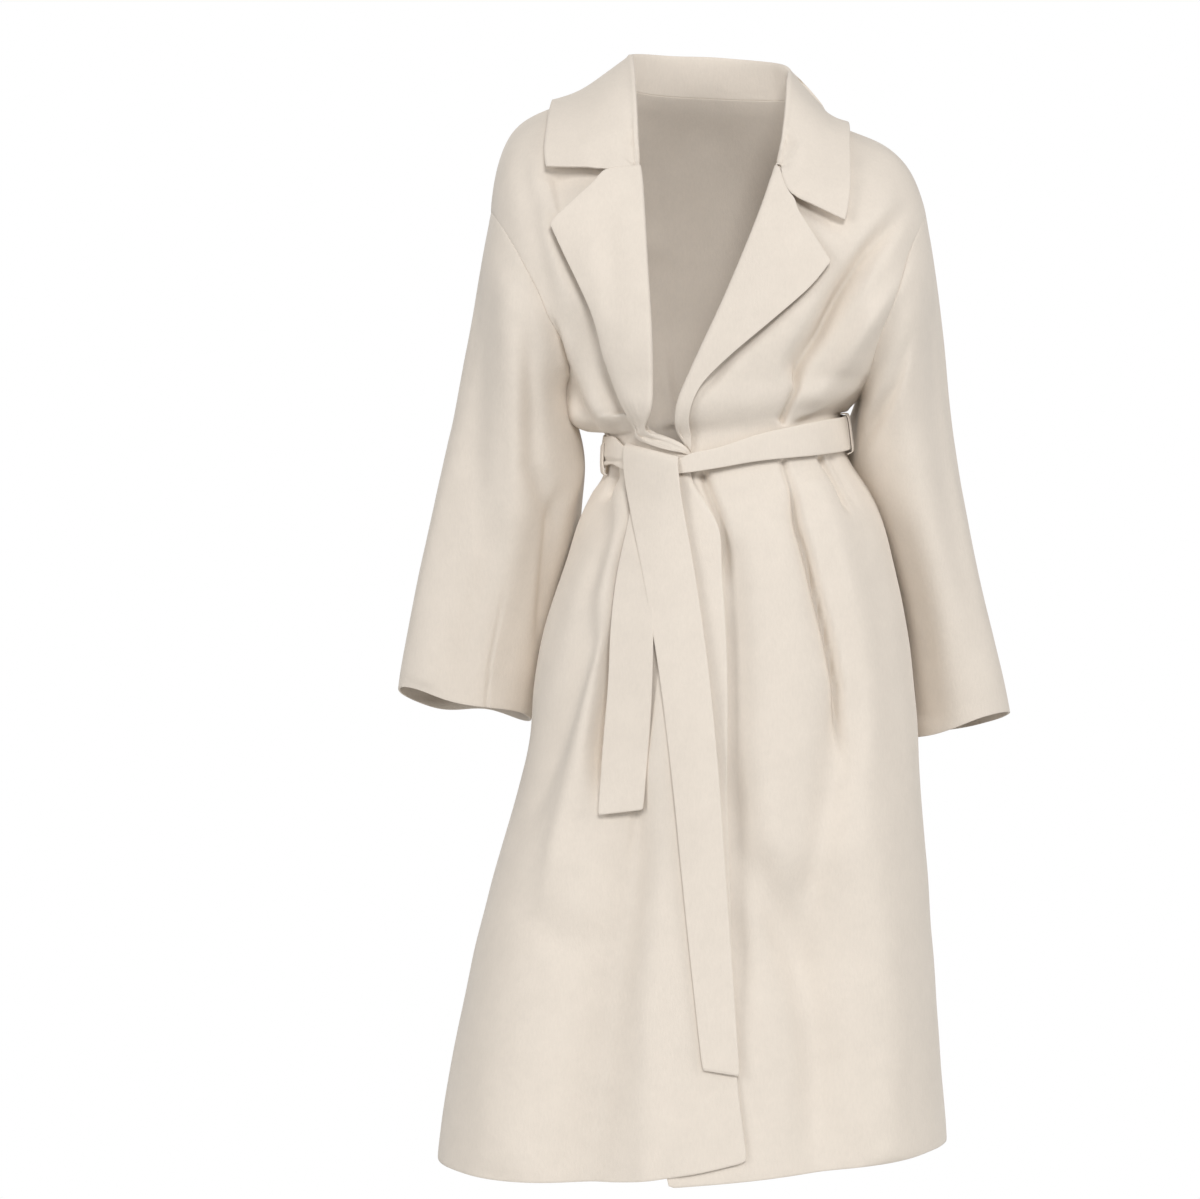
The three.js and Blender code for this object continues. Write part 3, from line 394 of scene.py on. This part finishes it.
# The middle of each sleeve from the shoulder to the cuff.
SLEEVE_LINES = {
    "sleeve_right": [(-190, 8, -150), (-201, 10, -245), (-203, 23, -326), (-210, 35, -412),
                     (-220, 40, -460), (-234, 46, -517), (-248, 51, -575), (-262, 56, -650)],
    "sleeve_left": [(188, 8, -150), (198, 10, -242), (202, 26, -326), (214, 43, -414),
                    (228, 50, -465), (242, 56, -532), (254, 60, -591), (267, 63, -675)],
}
SLEEVE_FOLDS = [
    Fold("front", "sleeve_right", -5, 15, 18, 0, 55, 60,
         [(-241, -220), (-246, -303), (-249, -375), (-237, -468), (-237, -540)]),
    Fold("front", "sleeve_right", 4, 14, 15, 0, 50, 80,
         [(-214, -189), (-210, -293), (-203, -386), (-208, -489)]),
    Fold("front", "sleeve_right", -7, 10, 9, 0, 35, 40,
         [(-187, -246), (-188, -324), (-192, -391), (-174, -445)]),
    Fold("front", "sleeve_right", -8, 7, 12, 0, 25, 50,
         [(-168, -427), (-173, -489), (-178, -582)]),
    Fold("front", "sleeve_right", 4, 9, 9, 0, 30, 30,
         [(-155, -303), (-147, -386), (-152, -427)]),
    Fold("front", "sleeve_right", -4, 18, 15, 0, 50, 40,
         [(-249, -489), (-255, -551), (-259, -602)]),
    Fold("front", "sleeve_right", 3.5, 22, 20, 0, 70, 5,
         [(-282, -396), (-295, -489), (-303, -613)]),
    Fold("front", "sleeve_right", -1.4, 1.4, 1.4, 0, 25, 4,
         [(-218, -530), (-232, -589), (-238, -646)]),
    Fold("front", "sleeve_left", -9, 10, 6, 0, 28, 20,
         [(199, -267), (187, -315), (170, -365)]),
    Fold("front", "sleeve_left", -7, 8, 8, 0, 16, 16,
         [(172, -274), (160, -315), (147, -357)]),
    Fold("front", "sleeve_left", 3.5, 22, 26, 0, 60, 90,
         [(215, -344), (198, -427), (193, -530)]),
    Fold("front", "sleeve_left", -4, 26, 24, 0, 90, 60,
         [(234, -220), (242, -344), (257, -489), (280, -623)]),
    Fold("front", "sleeve_left", -3, 20, 24, 0, 70, 5,
         [(198, -489), (211, -571), (224, -654)]),
    Fold("back", "sleeve_right", -6, 16, 16, 0, 60, 80,
         [(-252, -240), (-262, -380), (-280, -520)]),
    Fold("back", "sleeve_right", 5, 14, 16, 0, 50, 80,
         [(-224, -260), (-228, -380), (-244, -560)]),
    Fold("back", "sleeve_right", -7, 12, 14, 0, 40, 80,
         [(-192, -300), (-196, -400), (-214, -560)]),
    Fold("back", "sleeve_right", 4, 20, 20, 0, 60, 5,
         [(-262, -470), (-276, -560), (-290, -640)]),
    Fold("back", "sleeve_left", -6, 18, 16, 0, 60, 80,
         [(250, -240), (258, -380), (276, -540)]),
    Fold("back", "sleeve_left", 4, 14, 16, 0, 50, 80,
         [(222, -260), (228, -400), (248, -580)]),
    Fold("back", "sleeve_left", -7, 12, 14, 0, 40, 80,
         [(196, -310), (204, -420), (222, -580)]),
    Fold("back", "sleeve_left", 4, 20, 20, 0, 60, 5,
         [(264, -500), (280, -600), (290, -670)]),
]


ARMHOLE_SHARE = 55  # how far down a sleeve the body's folds reach


def sleeve_out(p, line):
    """The way out of a sleeve at points p."""
    best = np.full(len(p), 1e9)
    out = np.zeros((len(p), 3))
    for a, b in zip(line, line[1:]):
        a, step = np.array(a, float), np.subtract(b, a).astype(float)
        t = np.clip((p - a) @ step / (step @ step), 0, 1)
        away = p - a - t[:, None] * step
        far = np.linalg.norm(away, axis=1)
        near = far < best
        best = np.where(near, far, best)
        out[near] = away[near] / np.maximum(far[near, None], 1e-6)
    return out


def sleeve_settled(p, name):
    """Sleeve points moved by the sleeve's own folds, and at its seam by those of the body."""
    out = sleeve_out(p, SLEEVE_LINES[name])
    own, aside = folded(p, out, name, SLEEVE_FOLDS)
    body = folded(p, body_out(p), name, FOLDS)[0]
    share = smooth(0, ARMHOLE_SHARE, seam_distance(p, name))[:, None]
    return p + share * (out * own[:, None] + aside) + (1 - share) * body_out(p) * body[:, None]


def settle(p, name):
    """Points moved as the cloth's folds move them. All pieces share one field of moves."""
    if name == "belt_waist":
        return belt_settled(p)
    out = body_out(p)
    full = fullness(p, name)
    ripple = out * (waves(p) * free_of_belt(p))[:, None]
    if name.startswith("sleeve"):
        return sleeve_settled(p, name) + full + ripple
    if "tail" in name:
        return p + out * lift(p, out)[:, None] + full + ripple
    depth, aside = folded(p, out, name, FOLDS)
    if name in LAPELS:
        depth += folded(p, out, name, HOLLOWS)[0] * ~LAPELS[name]
    return p + out * pinched(depth, p)[:, None] + aside + full + ripple


LIFT = 0.85  # share of a ridge by which a tail is held off
LIFT_STEP = 12  # between the heights where that is measured
LIFT_WINDOW = 14  # above and below each of them
LIFT_SPREAD = 3  # steps above and below over which it is evened out


def lift(p, out):
    """How far a tail is held off by the ridges it lies on, the same all across it."""
    ridges = [fold for fold in FOLDS if fold.depth > 0]
    under = pinched(folded(p, out, "front_right", ridges)[0], p)
    heights = np.arange(p[:, 2].min(), p[:, 2].max() + LIFT_STEP, LIFT_STEP)
    highest = [under[np.abs(p[:, 2] - z) < LIFT_WINDOW].max(initial=0) for z in heights]
    window = 2 * LIFT_SPREAD + 1
    highest = np.convolve(
        np.pad(highest, LIFT_SPREAD, "edge"), np.ones(window) / window, "valid")
    return LIFT * np.interp(p[:, 2], heights, highest)


BELT_REACH = 18  # from the belt's middle to its edge
BELT_EDGE = 0.6  # how far the edge lies lower than the middle
GROOVE = 2.2  # depth of the groove between the belt's two layers
GROOVE_AT = 0.3  # how far below the middle it runs, of the way to the edge
GROOVE_WIDTH = 0.1  # its half width, likewise
GROOVE_FROM = -84  # place across the coat where it begins
GROOVE_TO = -92  # and where it has its whole depth


def belt_settled(p):
    """The belt with soft edges, and its two layers parted by a groove beside the knot."""
    across = (p[:, 2] - belt_height(p)) / BELT_REACH
    depth = -BELT_EDGE * np.clip(across, -1, 1) ** 4
    beside_knot = smooth(GROOVE_FROM, GROOVE_TO, p[:, 0])
    depth -= GROOVE * np.exp(-(((across + GROOVE_AT) / GROOVE_WIDTH) ** 2)) * beside_knot
    return p + body_out(p) * depth[:, None]


# The meshes of the cloth.
LEVELS = 3  # of subdivision
MERGE = 0.02 * MM  # corners closer than this are one
WALL_TURN = 50  # degrees between triangles that still make one face
FACE_SHAPE = 100  # degrees that such a face's corners may be out of square
RIM_TURN = 55  # degrees at an edge of the wall, where the cloth ends
CREASE = 0.5  # of the edges of the wall, for one soft turn of the cloth at its rim
REACH = 16.0  # how far from a seam its cloth gives when the seam is drawn shut
SEAM_LEFT = 0.25  # gap that a drawn seam keeps
SEAM_WIDEST = 5.0  # widest gap that is drawn shut
COLLAR_WIDEST = 9.0  # and at the collar
COLLAR_X = 130  # the collar is sewn on between these places on either side
COLLAR_ROUNDS = 14  # of easing the turn of the collar
ARMPIT = -360  # lowest part of an armhole


def points_of(mesh):
    """Places of a mesh's vertices, a row for each."""
    flat = np.empty(len(mesh.vertices) * 3, np.float32)
    mesh.vertices.foreach_get("co", flat)
    return flat.reshape(-1, 3).astype(float)


def write_points(mesh, p):
    """Puts a mesh's vertices at the places p."""
    mesh.vertices.foreach_set("co", p.astype(np.float32).ravel())
    mesh.update()


def subdivided(piece):
    """The piece with its faces divided and smoothed."""
    modifier = piece.modifiers.new("smooth", "SUBSURF")
    modifier.levels = modifier.render_levels = LEVELS
    modifier.boundary_smooth = "PRESERVE_CORNERS"
    graph = bpy.context.evaluated_depsgraph_get()
    mesh = bpy.data.meshes.new_from_object(piece.evaluated_get(graph))
    piece.modifiers.clear()
    old = piece.data
    piece.data = mesh
    bpy.data.meshes.remove(old)
    return piece


def rounded(node):
    """A piece of cloth on a node's form: its faces as quads, its rims creased, then smoothed."""
    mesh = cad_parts[node].data.copy()
    mesh.materials.clear()
    bm = bmesh.new()
    bm.from_mesh(mesh)
    bmesh.ops.remove_doubles(bm, verts=bm.verts, dist=MERGE)
    bmesh.ops.join_triangles(
        bm, faces=bm.faces, angle_face_threshold=math.radians(WALL_TURN),
        angle_shape_threshold=math.radians(FACE_SHAPE))
    crease = bm.edges.layers.float.get("crease_edge") or bm.edges.layers.float.new("crease_edge")
    for edge in bm.edges:
        if len(edge.link_faces) == 2 and edge.calc_face_angle(0) > math.radians(RIM_TURN):
            edge[crease] = CREASE
    bm.to_mesh(mesh)
    bm.free()
    piece = bpy.data.objects.new(node + "_cloth", mesh)
    bpy.context.scene.collection.objects.link(piece)
    return subdivided(piece)


def edges_of(mesh):
    """The two vertices of each edge, a row for each."""
    pairs = np.empty(len(mesh.edges) * 2, np.int32)
    mesh.edges.foreach_get("vertices", pairs)
    return pairs.reshape(-1, 2)


def rim_of(mesh):
    """Numbers of the vertices on the creased rims of a smoothed piece."""
    values = np.empty(len(mesh.edges), np.float32)
    mesh.attributes["crease_edge"].data.foreach_get("value", values)
    return np.unique(edges_of(mesh)[values > CREASE / 10])


def tree_of(points):
    """The points, ready to find the nearest of."""
    tree = KDTree(len(points))
    for i, q in enumerate(points):
        tree.insert(q, i)
    tree.balance()
    return tree


def sewn(places, rims, faces):
    """Places of all pieces with each seam drawn shut: both its rims move half of its gap."""
    trees = {name: tree_of(places[name][rims[name]]) for name in rims}
    walls = {name: BVHTree.FromPolygons(places[name].tolist(), faces[name]) for name in rims}
    result = dict(places)
    for name in rims:
        moved, steps = [], []
        for i in rims[name]:
            q = places[name][i]
            best = None
            for other in rims:
                at_collar = "collar" in (name, other) and abs(q[0]) < COLLAR_X
                widest = COLLAR_WIDEST if at_collar else SEAM_WIDEST
                if other == name or trees[other].find(q)[2] > widest:
                    continue
                near, _, _, far = walls[other].find_nearest(q)
                if best is None or far < best[1]:
                    best = (np.array(near) - q, far)
            if best and SEAM_LEFT < best[1] < COLLAR_WIDEST:
                moved.append(i)
                steps.append(best[0] * (0.5 * (best[1] - SEAM_LEFT) / best[1]))
        if not moved:
            continue
        steps = np.array(steps)
        tree = tree_of(places[name][moved])
        shift = np.zeros_like(places[name])
        for i, q in enumerate(places[name]):
            near = tree.find_n(q, 4)
            if near[0][2] < REACH:
                weights = np.array([1 / (n[2] + 0.5) ** 2 for n in near])
                step = weights @ steps[[n[1] for n in near]] / weights.sum()
                shift[i] = step * smooth(REACH, 0, near[0][2])
        result[name] = places[name] + shift
    return result


def eased(p, mesh, rim, rounds):
    """Places of a piece with its tight turns eased, its rims left where they are."""
    a, b = edges_of(mesh).T
    count = np.bincount(np.append(a, b), minlength=len(p)).astype(float)[:, None]
    free = np.ones((len(p), 1))
    free[rim] = 0
    for _ in range(rounds):
        total = np.zeros_like(p)
        np.add.at(total, a, p[b])
        np.add.at(total, b, p[a])
        p = p + 0.5 * free * (total / count - p)
    return p


def cloth_pieces(nodes):
    """The smoothed pieces of all nodes, sewn together and then moved by the folds."""
    pieces = {node: rounded(node) for node in nodes}
    places = {node: points_of(piece.data) / MM for node, piece in pieces.items()}
    coat = [node for node in nodes if "belt" not in node]
    rims = {node: rim_of(pieces[node].data) for node in coat}
    places["collar"] = eased(
        places["collar"], pieces["collar"].data, rims["collar"], COLLAR_ROUNDS)
    faces = {node: [tuple(f.vertices) for f in pieces[node].data.polygons] for node in coat}
    places.update(sewn({node: places[node] for node in coat}, rims, faces))
    for node in ("sleeve_right", "sleeve_left"):
        ring = places[node][rims[node]]
        SEAMS[node] = tree_of(ring[ring[:, 2] > ARMPIT])
    for node in ("front_right", "front_left"):
        LAPELS[node] = turned(places[node], faces[node])
    for node, piece in pieces.items():
        write_points(piece.data, settle(places[node], node) * MM)
        piece.data.polygons.foreach_set("use_smooth", [True] * len(piece.data.polygons))
        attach(piece, "root")
        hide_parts(node)
    return pieces


def wool(name, tone, nap):
    """Brushed double-faced wool: a short nap with a soft sheen, slightly clouded."""
    material = bpy.data.materials.new(name)
    material.use_nodes = True
    tree = material.node_tree
    shader = tree.nodes["Principled BSDF"]
    shader.inputs["Roughness"].default_value = 0.92
    shader.inputs["Specular IOR Level"].default_value = 0.18
    shader.inputs["Sheen Weight"].default_value = 0.3
    shader.inputs["Sheen Roughness"].default_value = 0.45
    shader.inputs["Sheen Tint"].default_value = (1.0, 0.97, 0.92, 1)
    place = tree.nodes.new("ShaderNodeTexCoord")

    def grain(scale, detail, stretch=(1, 1, 1), rough=0.6):
        mapping = tree.nodes.new("ShaderNodeMapping")
        mapping.inputs["Scale"].default_value = stretch
        tree.links.new(place.outputs["Object"], mapping.inputs["Vector"])
        node = tree.nodes.new("ShaderNodeTexNoise")
        node.inputs["Scale"].default_value = scale
        node.inputs["Detail"].default_value = detail
        node.inputs["Roughness"].default_value = rough
        tree.links.new(mapping.outputs["Vector"], node.inputs["Vector"])
        return node.outputs["Fac"]

    def combine(operation, a, b):
        node = tree.nodes.new("ShaderNodeMath")
        node.operation = operation
        for socket, value in zip(node.inputs, (a, b)):
            if isinstance(value, (int, float)):
                socket.default_value = value
            else:
                tree.links.new(value, socket)
        return node.outputs[0]

    clouds = grain(34, 3)
    fibres = grain(420, 4, (1, 1, 0.35), 0.7)
    fine = grain(1500, 2)
    colour = tree.nodes.new("ShaderNodeValToRGB")
    light, dark = colour.color_ramp.elements[1], colour.color_ramp.elements[0]
    dark.position, light.position = 0.3, 0.72
    dark.color = tuple(c * 0.94 for c in tone) + (1,)
    light.color = tuple(min(1, c * 1.03) for c in tone) + (1,)
    shade = combine("ADD", combine("MULTIPLY", clouds, 0.45), combine("MULTIPLY", fibres, 0.55))
    tree.links.new(shade, colour.inputs["Fac"])
    tree.links.new(colour.outputs["Color"], shader.inputs["Base Color"])
    height = combine("ADD", combine("MULTIPLY", fibres, 0.6), combine("MULTIPLY", fine, 0.4))
    bump = tree.nodes.new("ShaderNodeBump")
    bump.inputs["Strength"].default_value = 0.35 * nap
    bump.inputs["Distance"].default_value = 0.0012
    tree.links.new(height, bump.inputs["Height"])
    tree.links.new(bump.outputs["Normal"], shader.inputs["Normal"])
    return material


CREAM = (0.76, 0.685, 0.60)
coat_wool = wool("coat_wool", CREAM, 1.0)
belt_wool = wool("belt_wool", CREAM, 0.8)

# Each piece: its node, flat width and length as cut (m), the cut's area (m2), how it is held
# and what it rests on.
FRONTS = ["front_right_cloth", "front_left_cloth"]
PIECES = [
    ("back", 0.64, 1.15, 0.61, "draped", FRONTS),
    ("front_right", 0.44, 1.17, 0.32, "draped", ["front_left_cloth"]),
    ("front_left", 0.46, 1.17, 0.36, "draped", ["back_cloth"]),
    ("sleeve_right", 0.42, 0.56, 0.195, "hung", ["front_right_cloth", "back_cloth"]),
    ("sleeve_left", 0.42, 0.56, 0.187, "hung", ["front_left_cloth", "back_cloth"]),
    ("collar", 0.54, 0.17, 0.075, "folded", FRONTS + ["back_cloth"]),
    ("belt_waist", 0.82, 0.036, 0.026, "stretched", FRONTS + ["back_cloth"]),
    ("belt_tail_long", 0.05, 0.74, 0.036, "hung", ["belt_waist_cloth"]),
    ("belt_tail_short", 0.042, 0.37, 0.0155, "hung", ["belt_waist_cloth"]),
]
LOOPS = {"front_right": "belt_loop_right", "front_left": "belt_loop_left"}
made = cloth_pieces([row[0] for row in PIECES] + list(LOOPS.values()))
for node, piece in made.items():
    belt = node.startswith("belt")
    piece.data.materials.append(belt_wool if belt else coat_wool)

# The floor and the light.
FLOOR_RADIUS = 1.55  # m
FLOOR_HEIGHT = -1.55  # m, well below the hem
floor_mesh = bpy.data.meshes.new("floor")
bm = bmesh.new()
bmesh.ops.create_circle(bm, cap_ends=True, radius=FLOOR_RADIUS, segments=96)
bm.to_mesh(floor_mesh)
bm.free()
floor = bpy.data.objects.new("floor", floor_mesh)
floor.location = (0, 0, FLOOR_HEIGHT)
bpy.context.scene.collection.objects.link(floor)
pale = bpy.data.materials.new("pale_floor")
pale.use_nodes = True
pale_shader = pale.node_tree.nodes["Principled BSDF"]
pale_shader.inputs["Base Color"].default_value = (0.86, 0.86, 0.85, 1)
pale_shader.inputs["Roughness"].default_value = 0.8
floor_mesh.materials.append(pale)


def area_light(name, place, target, size, power):
    """A soft light at a place (m), turned to a target, with a size (m) and a power (W)."""
    data = bpy.data.lights.new(name, "AREA")
    data.shape = "RECTANGLE"
    data.size, data.size_y = size
    data.energy = power
    light = bpy.data.objects.new(name, data)
    light.location = place
    aim = Vector(target) - Vector(place)
    light.rotation_euler = aim.to_track_quat("-Z", "Y").to_euler()
    bpy.context.scene.collection.objects.link(light)


area_light("key", (0.73, -6.8, 3.2), (0, 0, -0.55), (2.4, 2.4), 312)
area_light("left", (-2.7, -2.3, 0.2), (0, 0, -0.6), (1.2, 2.2), 40)
area_light("right", (3.1, -1.5, 0.5), (0, 0, -0.6), (1.2, 2.2), 38)
area_light("rear", (-0.8, 2.6, 1.4), (0, 0, -0.4), (2.2, 1.6), 34)

# The world lights the coat a little from all sides, and the camera sees it white.
world = bpy.data.worlds.new("studio")
bpy.context.scene.world = world
world.use_nodes = True
tree = world.node_tree
background = tree.nodes["Background"]
background.inputs["Color"].default_value = (1, 1, 1, 1)
background.inputs["Strength"].default_value = 0.27
white = tree.nodes.new("ShaderNodeBackground")
white.inputs["Color"].default_value = (1, 1, 1, 1)
white.inputs["Strength"].default_value = 1.0
rays = tree.nodes.new("ShaderNodeLightPath")
mixed = tree.nodes.new("ShaderNodeMixShader")
tree.links.new(rays.outputs["Is Camera Ray"], mixed.inputs["Fac"])
tree.links.new(background.outputs[0], mixed.inputs[1])
tree.links.new(white.outputs[0], mixed.inputs[2])
tree.links.new(mixed.outputs[0], tree.nodes["World Output"].inputs["Surface"])
bpy.context.scene.view_settings.view_transform = "Standard"
